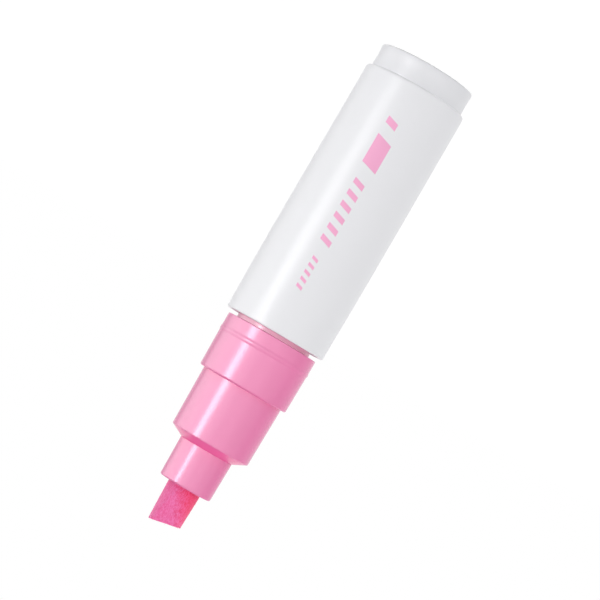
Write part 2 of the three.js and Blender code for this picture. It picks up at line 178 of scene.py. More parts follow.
class MarkerFinishes(bpy.types.PropertyGroup):
    """Colours and gloss."""

    barrel: colour("Barrel", "White polypropylene", (0.778, 0.78, 0.803))
    front: colour("Front", "Pink polypropylene", (0.79, 0.188, 0.405))
    # The neck colour is painted light: paler to make up for the shade in the narrow groove between the
    # barrel's rim and the flange.
    neck: colour("Neck", "Pink polypropylene of the plug and neck, paler as it is thin", (1.0, 0.5, 0.68))
    # The cone colour is painted shade: deeper to stand for the shade and missing gloss on the front cone.
    cone: colour("Cone", "Pink polypropylene of the front cone, deeper as it is thick", (0.84, 0.125, 0.35))
    ink: colour("Print", "Pink pad print on the barrel", (0.8, 0.335, 0.54))
    felt: colour("Felt", "Paint-soaked felt, on the ground flats", (1.0, 0.21, 0.52))
    # Painted shade: this deeper colour stands for the shade on the side of the nib turned from the light.
    felt_painted_shade: colour("Deep felt", "Paint-soaked felt where it lies thick", (1.0, 0.08, 0.24))
    natural: colour("Natural", "Uncoloured polypropylene of the valve", (0.8, 0.78, 0.72))
    seal: colour("Seal", "Soft sealing ring", (0.07, 0.07, 0.075))
    steel: colour("Steel", "Spring wire and mixing balls", (0.5, 0.5, 0.52))
    barrel_roughness: share("Barrel roughness", "How satin the barrel is", 0.35)
    front_roughness: share("Front roughness", "How satin the pink mouldings are", 0.2)


class MarkerStudio(bpy.types.PropertyGroup):
    """Camera, lights and floor."""

    eye_height: length("Camera height", "Height of the camera", 82.6 * MM)
    aim_height: length("Aim height", "Height of the point the camera looks at", 59.7 * MM)
    aim_side: length("Aim side", "How far to the side the camera stands and looks", 1.2 * MM)
    distance: length("Camera distance", "From the marker's axis to the camera", 627 * MM)
    lens: FloatProperty(name="Lens", description="Focal length", default=166.3, min=1.0, unit="CAMERA")
    roll: FloatProperty(
        name="Roll",
        description="Turn of the camera about its view",
        default=math.radians(-149.79),
        unit="ROTATION",
    )
    ambient: light_level("Ambient", "Light from all round", 0.2)
    horizon: light_level("Horizon", "More light from low down, all round", 1.25)
    overhead: light_level("Overhead", "More light from above", 1.4)


# Small helpers for modelling


def deselect_all():
    bpy.ops.object.select_all(action="DESELECT")


def activate(piece):
    deselect_all()
    piece.select_set(True)
    bpy.context.view_layer.objects.active = piece


def edit(piece):
    activate(piece)
    bpy.ops.object.mode_set(mode="EDIT")


def leave_edit():
    bpy.ops.object.mode_set(mode="OBJECT")


def pick_points(piece, test):
    """In edit mode, selects only the points whose place passes the test, and says how many."""
    bpy.ops.mesh.select_all(action="DESELECT")
    mesh = bmesh.from_edit_mesh(piece.data)
    picked = 0
    for point in mesh.verts:
        if test(point.co):
            point.select = True
            picked += 1
    mesh.select_flush(True)
    bmesh.update_edit_mesh(piece.data)
    return picked


def draw_outline(name, corners):
    """Draws half a section, corner by corner, and rounds its corners.

    A corner is (radius, height) or (radius, height, rounding).
    """
    places = [Vector((corner[0], 0, corner[1])) for corner in corners]
    deselect_all()
    bpy.ops.mesh.primitive_plane_add(size=MM)
    piece = bpy.context.object
    piece.name = name
    piece.data.name = name
    bpy.ops.object.mode_set(mode="EDIT")
    bpy.ops.mesh.merge(type="CENTER")
    bpy.ops.transform.translate(value=places[0])
    for here, there in zip(places, places[1:]):
        bpy.ops.mesh.extrude_region_move(TRANSFORM_OT_translate={"value": there - here})
    bpy.ops.mesh.select_all(action="SELECT")
    bpy.ops.mesh.edge_face_add()
    for place, corner in zip(places, corners):
        if len(corner) > 2:
            pick_points(piece, lambda co: (co - place).length < SAME_PLACE)
            bpy.ops.mesh.bevel(offset=corner[2], segments=ROUND_STEPS, affect="VERTICES")
    return piece


def turn(name, corners, steps=TURN_STEPS):
    """A closed body of revolution about the marker's axis, from half its section."""
    piece = draw_outline(name, corners)
    bpy.ops.mesh.select_all(action="SELECT")
    bpy.ops.mesh.delete(type="ONLY_FACE")
    if pick_points(piece, lambda co: co.x < SAME_PLACE) > 1:
        bpy.ops.mesh.delete(type="EDGE_FACE")
    bpy.ops.mesh.select_all(action="SELECT")
    bpy.ops.mesh.spin(steps=steps, angle=2 * math.pi, center=(0, 0, 0), axis=(0, 0, 1))
    bpy.ops.mesh.select_all(action="SELECT")
    bpy.ops.mesh.remove_doubles(threshold=SAME_PLACE)
    bpy.ops.mesh.normals_make_consistent(inside=False)
    leave_edit()
    return piece


def apply_modifier(piece, kind, **settings):
    """Adds a modifier with its settings and applies it."""
    activate(piece)
    modifier = piece.modifiers.new(kind.title(), kind)
    for setting, value in settings.items():
        setattr(modifier, setting, value)
    bpy.ops.object.modifier_apply(modifier=modifier.name)


def smooth(piece, angle=SMOOTH_ANGLE):
    activate(piece)
    bpy.ops.object.shade_smooth_by_angle(angle=angle)


def smooth_walls(piece):
    """Smooths a moulding, with the gloss on its long walls straight up to their small roundings."""
    smooth(piece)
    apply_modifier(piece, "WEIGHTED_NORMAL", keep_sharp=True)


def bead(radius, height, low, high, slope, rounding=0.0):
    """A raised ring round a wall: four corners, from the wall out to its crest and back."""
    crest = radius + height
    corners = [(radius, low), (crest, low + slope), (crest, high - slope), (radius, high)]
    return [(*corner, rounding) for corner in corners] if rounding else corners


def bars(count, width, start, end, low, high, turned=0.0):
    """Upright bars round the axis, which reach from one radius to another."""
    made = []
    for number in range(count):
        deselect_all()
        bpy.ops.mesh.primitive_cube_add(size=1)
        bar = bpy.context.object
        place = Matrix.Translation(((start + end) / 2, 0, (low + high) / 2))
        size = Matrix.Diagonal((end - start, width, high - low, 1))
        angle = turned + number * 2 * math.pi / count
        bar.data.transform(Matrix.Rotation(angle, 4, "Z") @ place @ size)
        made.append(bar)
    return made


def combine(piece, others, operation):
    """Adds the others to a piece (UNION) or takes them out of it (DIFFERENCE), and removes them."""
    activate(others[0])
    for other in others:
        other.select_set(True)
    if len(others) > 1:
        bpy.ops.object.join()
    joined = bpy.context.object
    apply_modifier(piece, "BOOLEAN", operation=operation, solver="EXACT", object=joined)
    bpy.data.objects.remove(joined)
    edit(piece)
    bpy.ops.mesh.select_all(action="SELECT")
    bpy.ops.mesh.remove_doubles(threshold=SAME_PLACE)
    leave_edit()


def dress(piece, material, slot, body, *nodes):
    """Gives a finished piece its material and its body, and hides the frame nodes it stands for. The slot
    argument is not used.
    """
    piece.data.materials.clear()
    piece.data.materials.append(material)
    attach(piece, body)
    if nodes:
        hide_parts(*nodes)


# Node helpers


def put(tree, kind, settings=None, **inputs):
    """Adds a node. Inputs are named with underscores for spaces and take a value or another node's output."""
    node = tree.nodes.new(kind)
    for setting, value in (settings or {}).items():
        setattr(node, setting, value)
    for name, value in inputs.items():
        feed(tree, node.inputs[name.replace("_", " ")], value)
    return node


def feed(tree, socket, value):
    if isinstance(value, bpy.types.NodeSocket):
        tree.links.new(value, socket)
    else:
        socket.default_value = value


def calc(tree, operation, *values):
    """The output of a Math node."""
    node = tree.nodes.new("ShaderNodeMath")
    node.operation = operation
    for socket, value in zip(node.inputs, values):
        feed(tree, socket, value)
    return node.outputs[0]


def clamped(tree, value):
    """A value kept between 0 and 1."""
    return put(tree, "ShaderNodeMapRange", Value=value).outputs["Result"]


def blend(tree, factor, first, second, kind="MIX"):
    """A colour between two colours."""
    node = tree.nodes.new("ShaderNodeMix")
    node.data_type = "RGBA"
    node.blend_type = kind
    feed(tree, node.inputs["Factor"], factor)
    feed(tree, node.inputs[6], first)
    feed(tree, node.inputs[7], second)
    return node.outputs[2]


def stretched(tree, scale):
    """Object coordinates, scaled along each axis."""
    coordinates = put(tree, "ShaderNodeTexCoord").outputs["Object"]
    return put(tree, "ShaderNodeMapping", Vector=coordinates, Scale=scale).outputs["Vector"]


def opaque(rgb):
    return (*rgb, 1.0)


def new_group(name, inputs, outputs):
    """An empty node group with named number sockets: (name, default) for each input."""
    group = bpy.data.node_groups.new(name, "ShaderNodeTree")
    for name, default in inputs:
        socket = group.interface.new_socket(name, in_out="INPUT", socket_type="NodeSocketFloat")
        socket.default_value = default
    for name in outputs:
        group.interface.new_socket(name, in_out="OUTPUT", socket_type="NodeSocketFloat")
    given = group.nodes.new("NodeGroupInput").outputs
    return group, given, group.nodes.new("NodeGroupOutput").inputs


def place_group(tree, group, **values):
    return put(tree, "ShaderNodeGroup", {"node_tree": group}, **values).outputs


def swing(tree, noise, amount):
    """A noise as a value that swings evenly about zero."""
    return calc(tree, "MULTIPLY", calc(tree, "SUBTRACT", noise.outputs["Fac"], 0.5), amount)


def moulded_surface():
    """Group: the faint tone, gloss and flow of an injection-moulded surface."""
    name = "Moulded surface"
    if name in bpy.data.node_groups:
        return bpy.data.node_groups[name]
    group, given, out = new_group(
        name,
        [("Roughness", 0.3), ("Scuff", 0.06), ("Peel", 1.0)],
        ["Tone", "Roughness", "Height"],
    )
    place = stretched(group, (1, 1, 1))
    flow = put(group, "ShaderNodeTexNoise", Vector=place, Scale=90.0, Detail=3.0, Roughness=0.5)
    long_place = stretched(group, (1, 1, 0.12))
    rubbed = put(group, "ShaderNodeTexNoise", Vector=long_place, Scale=1400.0, Detail=4.0, Roughness=0.6)
    peel = put(group, "ShaderNodeTexNoise", Vector=place, Scale=900.0, Detail=2.0, Roughness=0.45)
    worn = swing(group, rubbed, given["Scuff"])
    hazed = swing(group, flow, given["Scuff"])
    feed(group, out["Tone"], flow.outputs["Fac"])
    feed(group, out["Roughness"], calc(group, "ADD", calc(group, "ADD", worn, hazed), given["Roughness"]))
    feed(group, out["Height"], calc(group, "MULTIPLY", peel.outputs["Fac"], given["Peel"]))
    return group


def felt_fibres():
    """Group: fibres that run along the nib, matted and mottled with paint."""
    name = "Felt fibres"
    if name in bpy.data.node_groups:
        return bpy.data.node_groups[name]
    group, given, out = new_group(name, [("Scale", 1.0), ("Mottle", 1.0)], ["Shade", "Height"])
    place = stretched(group, (1, 1, 0.4))
    scale = calc(group, "MULTIPLY", given["Scale"], 3700.0)
    mat = put(
        group,
        "ShaderNodeTexNoise",
        Vector=place,
        Scale=scale,
        Detail=5.0,
        Roughness=0.62,
        Distortion=0.7,
    )
    fine = put(
        group,
        "ShaderNodeTexNoise",
        Vector=place,
        Scale=calc(group, "MULTIPLY", scale, 3.1),
        Detail=3.0,
        Roughness=0.6,
    )
    coarse = calc(group, "MULTIPLY", swing(group, mat, given["Mottle"]), 4.5)
    feed(group, out["Shade"], clamped(group, calc(group, "ADD", coarse, 0.5)))
    half = calc(group, "MULTIPLY", fine.outputs["Fac"], 0.5)
    feed(group, out["Height"], calc(group, "ADD", mat.outputs["Fac"], half))
    return group


def drawn_steel():
    """Group: fine draw marks on wire and polished balls."""
    name = "Drawn steel"
    if name in bpy.data.node_groups:
        return bpy.data.node_groups[name]
    group, given, out = new_group(name, [("Roughness", 0.2), ("Marks", 0.1)], ["Roughness", "Height"])
    place = stretched(group, (1, 1, 0.3))
    marks = put(group, "ShaderNodeTexNoise", Vector=place, Scale=5200.0, Detail=4.0, Roughness=0.6)
    uneven = swing(group, marks, given["Marks"])
    feed(group, out["Roughness"], calc(group, "ADD", uneven, given["Roughness"]))
    feed(group, out["Height"], marks.outputs["Fac"])
    return group


def new_material(name, **constants):
    """A material with its shader, whose constant sockets are set by name."""
    material = bpy.data.materials.new(name)
    material.use_nodes = True
    shader = material.node_tree.nodes["Principled BSDF"]
    for socket, value in constants.items():
        shader.inputs[socket.replace("_", " ")].default_value = value
    return material, material.node_tree, shader


def add_bump(tree, shader, height, strength, distance):
    bump = put(tree, "ShaderNodeBump", Strength=strength, Distance=distance, Height=height)
    tree.links.new(bump.outputs["Normal"], shader.inputs["Normal"])


def plastic(name, rgb, roughness, scuff, peel, variation=0.03, painted_light_zones=(), **constants):
    """Moulded plastic: its colour drifts a little, and its gloss and surface are uneven.

    A painted light zone is (colour, low, high): between those heights that colour is painted in, paler where
    it stands for light a shadowed groove lacks, deeper where it stands for shade.
    """
    material, tree, shader = new_material(name, **constants)
    surface = place_group(tree, moulded_surface(), Roughness=roughness, Scuff=scuff, Peel=peel)
    light = tuple(min(1.0, channel * (1 + variation)) for channel in rgb)
    dark = tuple(channel * (1 - variation) for channel in rgb)
    tone = blend(tree, surface["Tone"], opaque(dark), opaque(light))
    # Painted light and shade: each zone's colour replaces the plastic's between two heights.
    for painted_light_zone, low, high in painted_light_zones:
        place = put(tree, "ShaderNodeTexCoord").outputs["Object"]
        height = put(tree, "ShaderNodeSeparateXYZ", Vector=place).outputs["Z"]
        above, below = calc(tree, "GREATER_THAN", height, low), calc(tree, "LESS_THAN", height, high)
        tone = blend(tree, calc(tree, "MULTIPLY", above, below), tone, opaque(painted_light_zone))
    feed(tree, shader.inputs["Base Color"], tone)
    tree.links.new(surface["Roughness"], shader.inputs["Roughness"])
    add_bump(tree, shader, surface["Height"], strength=0.25, distance=0.006 * MM)
    return material


def felt(name, finishes, mouth, tip, mottle=1.0):
    """Paint-soaked felt, with painted shade: deeper in colour on the side turned from the light, less so at
    the tip.
    """
    material, tree, shader = new_material(
        name, Roughness=0.95, Specular_IOR_Level=0.2, Sheen_Weight=0.25, Sheen_Roughness=0.6
    )
    fibres = place_group(tree, felt_fibres(), Mottle=mottle)
    place = put(tree, "ShaderNodeTexCoord").outputs["Object"]
    axes = put(tree, "ShaderNodeSeparateXYZ", Vector=place).outputs
    # Painted shade: the side of the nib at negative x, turned from the light, takes the deep colour, on a
    # band that narrows towards the tip.
    wander = calc(tree, "MULTIPLY", calc(tree, "SUBTRACT", fibres["Shade"], 0.5), 1.6 * MM)
    narrowing = put(
        tree,
        "ShaderNodeMapRange",
        Value=axes["Z"],
        From_Min=mouth,
        From_Max=tip,
        To_Min=-1.2 * MM,
        To_Max=3.6 * MM,
    ).outputs["Result"]
    edge = calc(tree, "ADD", calc(tree, "ADD", axes["X"], narrowing), wander)
    side = put(
        tree,
        "ShaderNodeMapRange",
        Value=edge,
        From_Min=-2.6 * MM,
        From_Max=1.2 * MM,
        To_Min=1.0,
        To_Max=0.0,
    ).outputs["Result"]
    base = blend(tree, side, opaque(finishes.felt), opaque(finishes.felt_painted_shade))
    hollow = calc(tree, "MULTIPLY", calc(tree, "SUBTRACT", 1.0, fibres["Shade"]), 0.75)
    shaded = blend(tree, hollow, base, FELT_HOLLOW, "MULTIPLY")
    feed(tree, shader.inputs["Base Color"], shaded)
    add_bump(tree, shader, fibres["Height"], strength=0.7, distance=0.12 * MM)
    return material


def steel(name, rgb, roughness, marks):
    material, tree, shader = new_material(name, Metallic=1.0)
    surface = place_group(tree, drawn_steel(), Roughness=roughness, Marks=marks)
    feed(tree, shader.inputs["Base Color"], opaque(rgb))
    tree.links.new(surface["Roughness"], shader.inputs["Roughness"])
    add_bump(tree, shader, surface["Height"], strength=0.1, distance=0.01 * MM)
    return material


def white_plastic(finishes):
    return plastic(
        "White plastic",
        finishes.barrel,
        finishes.barrel_roughness,
        scuff=0.08,
        peel=1.0,
        variation=0.008,
        Specular_IOR_Level=0.36,
    )


def pink_plastic(name, finishes, painted_light_zones=()):
    return plastic(
        name,
        finishes.front,
        finishes.front_roughness,
        scuff=0.06,
        peel=0.6,
        variation=0.02,
        painted_light_zones=painted_light_zones,
        Specular_IOR_Level=0.53,
    )


def natural_plastic(finishes):
    return plastic("Natural plastic", finishes.natural, roughness=0.42, scuff=0.15, peel=1.5)


def seal_rubber(finishes):
    return plastic(
        "Seal rubber",
        finishes.seal,
        roughness=0.7,
        scuff=0.2,
        peel=2.0,
        variation=0.1,
        Specular_IOR_Level=0.3,
    )


def print_ink(finishes):
    return plastic(
        "Print ink",
        finishes.ink,
        roughness=0.42,
        scuff=0.08,
        peel=1.0,
        variation=0.01,
        Specular_IOR_Level=0.5,
    )


# Pieces


class MARKER_OT_barrel(bpy.types.Operator):
    """Turn the white barrel, with its tail stub, tank and open mouth"""

    bl_idname = "marker.barrel"
    bl_label = "Barrel"

    def execute(self, context):
        sizes = context.scene.marker_sizes
        middle = sizes.barrel_diameter / 2
        rear, front = middle - 0.05 * MM, middle - 0.2 * MM
        stub = rear - sizes.stub_step
        mouth, tank, well = front - MOUTH_WALL, middle - TANK_WALL, stub - STUB_WALL
        low, high = sizes.shoulder_height + 1.1 * MM, sizes.rim_height - 0.7 * MM
        # The wall swells a little between its ends
        side = []
        for station in range(BARREL_STATIONS + 1):
            part = station / BARREL_STATIONS
            chord = rear + (front - rear) * part
            side.append((chord + (middle - chord) * 4 * part * (1 - part), low + (high - low) * part))
        piece = turn(
            "marker_barrel",
            [
                (0, 0),
                (stub, 0, 0.3 * MM),
                (stub, 1 * MM),
                (stub - 0.09 * MM, 2.7 * MM, 0.6 * MM),
                (stub - 0.03 * MM, 4 * MM, 0.6 * MM),
                (stub, sizes.shoulder_height),
                (rear, sizes.shoulder_height, 0.55 * MM),
                *side,
                (front, sizes.rim_height, 0.35 * MM),
                (mouth + 0.5 * MM, sizes.rim_height),
                (mouth, sizes.rim_height - 0.5 * MM),
                (mouth, sizes.rim_height - PLUG_LENGTH),
                (tank, sizes.rim_height - PLUG_LENGTH),
                (tank, sizes.shoulder_height + 3.6 * MM),
                (well, sizes.shoulder_height + 1.7 * MM),
                (well, TAIL_WALL, 1.5 * MM),
                (0, TAIL_WALL),
            ],
        )
        smooth_walls(piece)
        white = white_plastic(context.scene.marker_finishes)
        dress(piece, white, "white_plastic", "shell", "barrel")
        return {"FINISHED"}


class MARKER_OT_print(bpy.types.Operator):
    """Print the colour swatch and a plain row of slanted strokes on the barrel"""

    bl_idname = "marker.print"
    bl_label = "Print"

    def execute(self, context):
        marks = [self.mark(*SWATCH), self.mark(*SHORT_MARK)]
        for step in range(6):
            marks.append(self.stroke(30.2 + 2.9 * step, near=1.85, far=-0.95, slant=0.95, width=1.3))
        for step in range(5):
            marks.append(self.stroke(50.0 + 1.75 * step, near=1.25, far=-0.35, slant=0.55, width=0.75))
        activate(marks[0])
        for mark in marks:
            mark.select_set(True)
        bpy.ops.object.join()
        piece = bpy.context.object
        piece.name = "print_marks"
        piece.data.name = "print_marks"
        barrel = bpy.data.objects["marker_barrel"]
        apply_modifier(
            piece,
            "SHRINKWRAP",
            wrap_method="PROJECT",
            target=barrel,
            use_project_y=True,
            use_positive_direction=True,
            offset=0.012 * MM,
        )
        apply_modifier(piece, "SOLIDIFY", thickness=0.012 * MM, offset=0.0)
        smooth(piece)
        dress(piece, print_ink(context.scene.marker_finishes), "pink_plastic", "shell")
        return {"FINISHED"}

    def stroke(self, low, near, far, slant, width):
        """A slanted stroke, in millimetres."""
        return self.mark((near, low), (far, low + slant), (far, low + slant + width), (near, low + width))

    def mark(self, *corners):
        """A four-cornered mark in front of the barrel, its corners given across and up in millimetres."""
        deselect_all()
        bpy.ops.mesh.primitive_plane_add(size=MM)
        mark = bpy.context.object
        order = sorted(mark.data.vertices, key=lambda point: math.atan2(point.co.y, point.co.x))
        for point, (across, up) in zip(order, corners):
            point.co = (across * MM, -20 * MM, up * MM)
        bpy.ops.object.mode_set(mode="EDIT")
        bpy.ops.mesh.select_all(action="SELECT")
        bpy.ops.mesh.subdivide(number_cuts=11)
        leave_edit()
        return mark


class MARKER_OT_front_section(bpy.types.Operator):
    """Turn the pink front section: plug, neck, flange, collar, grip and front cone"""

    bl_idname = "marker.front_section"
    bl_label = "Front Section"

    def execute(self, context):
        sizes = context.scene.marker_sizes
        flange = sizes.flange_diameter / 2 - 0.12 * MM
        collar = flange - 0.03 * MM
        grip = sizes.grip_diameter / 2
        rim = sizes.rim_height
        base = rim + sizes.joint_gap
        plug, neck, chamber, skirt = 10.455 * MM, 9.355 * MM, 7.955 * MM, 8.705 * MM
        bore = 6.3 * MM
        snap = 8.255 * MM
        piece = turn(
            "marker_front_section",
            [
                (plug - 0.2 * MM, rim - PLUG_LENGTH),
                (plug, rim - PLUG_LENGTH + 0.2 * MM),
                *bead(plug, 0.15 * MM, 59.5 * MM, 60.5 * MM, slope=0.15 * MM),
                *bead(plug, 0.15 * MM, 63.7 * MM, 64.7 * MM, slope=0.15 * MM),
                (plug, rim - 0.7 * MM, 0.15 * MM),
                (neck, rim - 0.7 * MM, 0.15 * MM),
                (neck, base, 0.2 * MM),
                (flange, base, 0.12 * MM),
                *bead(flange, 0.1 * MM, base + 3.0 * MM, base + 4.2 * MM, slope=0.4 * MM, rounding=0.25 * MM),
                (collar, base + 4.3 * MM),
                (collar - 0.14 * MM, sizes.collar_end, 0.45 * MM),
                (grip, sizes.collar_end, 0.12 * MM),
                (grip - 0.22 * MM, sizes.grip_end, 0.18 * MM),
                (bore, sizes.cone_end + 0.53 * MM, 0.05 * MM),
                (bore, HOLDER_STOP),
                (chamber, HOLDER_STOP, 0.5 * MM),
                (chamber, CHAMBER_LOW),
                (skirt, CHAMBER_LOW),
                (skirt, CHAMBER_LOW - 2.1 * MM),
                (snap, CHAMBER_LOW - 2.4 * MM),
                (snap, CHAMBER_LOW - 2.9 * MM),
                (skirt, CHAMBER_LOW - 3.4 * MM),
                (skirt, rim - PLUG_LENGTH),
            ],
        )
        smooth_walls(piece)
        finishes = context.scene.marker_finishes
        # Painted light: the plug and neck are paler, to make up for the shade in the groove under the flange.
        painted_light_neck = (finishes.neck, 0.0, base + 0.02 * MM)
        # Painted shade: the front cone is deeper in colour, for the shade and missing gloss there.
        painted_shade_cone = (finishes.cone, sizes.grip_end + 0.1 * MM, sizes.cone_end + CONE_REACH)
        pink = pink_plastic("Front section plastic", finishes, (painted_light_neck, painted_shade_cone))
        dress(piece, pink, "pink_plastic", "shell", "front_section")
        return {"FINISHED"}


class MARKER_OT_nib_holder(bpy.types.Operator):
    """Turn the pink nib holder and cut the air slots along its bore"""

    bl_idname = "marker.nib_holder"
    bl_label = "Nib Holder"

    def execute(self, context):
        sizes = context.scene.marker_sizes
        bore = sizes.nib_diameter / 2 + FIT
        plug = bore + 1.7 * MM
        tail = plug - FIT
        outer = sizes.holder_diameter / 2
        start = sizes.cone_end + CONE_REACH
        piece = turn(
            "marker_nib_holder",
            [
                (bore, HOLDER_LOW),
                (tail, HOLDER_LOW, 0.2 * MM),
                (tail, HOLDER_STOP + FIT),
                (plug, HOLDER_STOP + 2 * FIT),
                *bead(plug, 0.12 * MM, 95.3 * MM, 96.3 * MM, slope=0.2 * MM),
                (plug, start),
                (outer - 0.06 * MM, start),
                (outer, start + 0.06 * MM),
                (outer - 0.12 * MM, sizes.mouth_height - 1.9 * MM, 0.1 * MM),
                (outer - 0.15 * MM, sizes.mouth_height, 0.4 * MM),
                (bore, sizes.mouth_height, 0.2 * MM),
            ],
            SMALL_TURN_STEPS,
        )
        slots = bars(
            4,
            width=1 * MM,
            start=bore - 0.8 * MM,
            end=bore + 0.8 * MM,
            low=HOLDER_LOW - CUT_MARGIN,
            high=111.5 * MM,
            turned=math.pi / 4,
        )
        combine(piece, slots, "DIFFERENCE")
        smooth_walls(piece)
        pink = pink_plastic("Nib holder plastic", context.scene.marker_finishes)
        dress(piece, pink, "pink_plastic", "shell", "nib_holder")
        return {"FINISHED"}


class MARKER_OT_nib(bpy.types.Operator):
    """Shape the felt nib: a rod ground to two flats and a slanted end, with its loose fibres"""

    bl_idname = "marker.nib"
    bl_label = "Nib"

    def execute(self, context):
        sizes = context.scene.marker_sizes
        finishes = context.scene.marker_finishes
        radius = sizes.nib_diameter / 2
        end = radius - 0.35 * MM
        tail, mouth, tip = height_of("nib", 0), sizes.mouth_height, sizes.tip_height
        piece = turn(
            "marker_nib",
            [
                (0, tail),
                (radius, tail, 0.5 * MM),
                (radius, mouth + 1 * MM),
                (end, tip + CUT_MARGIN),
                (0, tip + CUT_MARGIN),
            ],
            SMALL_TURN_STEPS,
        )
        flat = math.atan(NIB_FLAT_SLOPE)
        self.grind(piece, (0, radius, mouth + 1 * MM), (0, math.cos(flat), math.sin(flat)))
        self.grind(piece, (0, -radius, mouth + 1 * MM), (0, -math.cos(flat), math.sin(flat)))
        self.grind(piece, (end, 0, tip), (-math.sin(NIB_SLANT), 0, math.cos(NIB_SLANT)))
        apply_modifier(piece, "REMESH", mode="VOXEL", voxel_size=NIB_VOXEL)
        apply_modifier(piece, "SMOOTH", factor=0.5, iterations=3)
        self.roughen(piece)
        smooth(piece, math.radians(80))
        dress(piece, felt("Nib felt", finishes, mouth, tip), "nib_felt", "writing_nib", "nib")
        fibres = self.loose_fibres(piece, mouth)
        dress(fibres, felt("Loose fibres", finishes, mouth, tip, mottle=0.4), "nib_felt", "writing_nib")
        return {"FINISHED"}

    def grind(self, piece, place, normal):
        """Cuts away what lies beyond a plane and closes the cut."""
        edit(piece)
        bpy.ops.mesh.select_all(action="SELECT")
        bpy.ops.mesh.bisect(plane_co=place, plane_no=normal, use_fill=True, clear_outer=True)
        leave_edit()

    def roughen(self, piece):
        """Matted, uneven felt, in two sizes of lump."""
        for name, size, depth in (("Matted felt", 0.75, 0.07), ("Fibre ends", 0.28, 0.05)):
            lumps = bpy.data.textures.new(name, "CLOUDS")
            lumps.noise_scale = size * MM
            lumps.noise_depth = 2
            apply_modifier(
                piece, "DISPLACE", texture=lumps, texture_coords="LOCAL", mid_level=0.5, strength=depth * MM
            )

    def loose_fibres(self, nib, mouth):
        """Short bent fibres that stand off the nib, more of them round its worn end."""
        chance = random.Random(7)
        deselect_all()
        bpy.ops.mesh.primitive_cone_add(vertices=3, radius1=0.022 * MM, radius2=0.016 * MM, depth=0.2 * MM)
        first = bpy.context.object
        bpy.ops.object.mode_set(mode="EDIT")
        pick_points(first, lambda co: co.z > 0)
        bpy.ops.mesh.extrude_region_move(TRANSFORM_OT_translate={"value": (0.05 * MM, 0, 0.2 * MM)})
        bpy.ops.mesh.extrude_region_move(TRANSFORM_OT_translate={"value": (0.1 * MM, 0, 0.16 * MM)})
        bpy.ops.transform.resize(value=(0.4, 0.4, 0.4))
        leave_edit()
        shown = [face for face in nib.data.polygons if face.center.z > mouth + 0.6 * MM]
        ends = [face for face in shown if face.normal.z > 0.9]
        rims = [face for face in shown if 0.35 < face.normal.z <= 0.9]
        corner = [face for face in rims if face.center.x < -2.6 * MM] or ends
        strands = []
        for faces, count, lean in (
            (shown, 170, 0.25),
            (rims or ends, 36, 0.5),
            (ends, 24, 0.5),
            (corner, 14, 1.0),
        ):
            for face in chance.sample(faces, min(count, len(faces))):
                across = (chance.uniform(-0.5, 0.5), chance.uniform(-0.5, 0.5))
                along = Vector((*across, chance.choice((-1, 1, 1))))
                along -= face.normal * along.dot(face.normal)
                out = face.normal * lean * chance.uniform(0.3, 1)
                direction = (along.normalized() + out).normalized()
                spun = Quaternion((0, 0, 1), chance.uniform(0, 2 * math.pi))
                turned = (direction.to_track_quat("Z", "X") @ spun).to_matrix().to_4x4()
                strand = first.copy()
                strand.data = first.data.copy()
                size = Matrix.Diagonal((1, 1, chance.uniform(0.4, 0.85), 1))
                strand.data.transform(Matrix.Translation(face.center) @ turned @ size)
                bpy.context.scene.collection.objects.link(strand)
                strands.append(strand)
        bpy.data.objects.remove(first)
        activate(strands[0])
        for strand in strands:
            strand.select_set(True)
        bpy.ops.object.join()
        fibres = bpy.context.object
        fibres.name = "nib_fibres"
        fibres.data.name = "nib_fibres"
        return fibres


